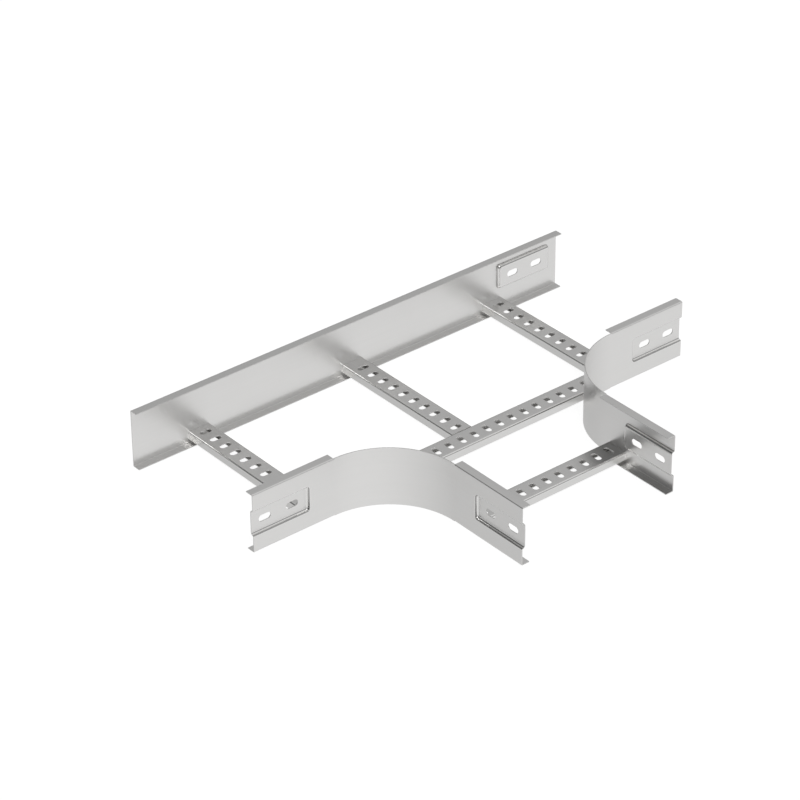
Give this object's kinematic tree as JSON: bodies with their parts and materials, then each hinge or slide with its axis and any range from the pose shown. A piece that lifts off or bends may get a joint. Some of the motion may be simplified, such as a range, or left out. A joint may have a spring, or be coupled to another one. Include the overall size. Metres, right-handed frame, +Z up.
{
  "type": "cable ladder tee",
  "caption": "Horizontal tee for cable ladder: folded side rails with curved inner corners, pressed slotted ends and slotted channel rungs, for branching a cable run sideways.",
  "frame": {"origin": "middle of the tee's outline, on the level that it stands on", "axes": "+X along the run to the right, +Y towards the straight back rail so that the branch points to -Y, +Z up"},
  "size_m": [0.85, 0.575, 0.1],
  "materials": {
    "rails": "satin",
    "rungs": "satin"
  },
  "bodies": {
    "root": {"back_rail": "rails", "left_corner_rail": "rails", "right_corner_rail": "rails", "left_rung": "rungs", "middle_rung": "rungs", "right_rung": "rungs", "cross_rung": "rungs", "branch_rung": "rungs"}
  },
  "joints": []
}
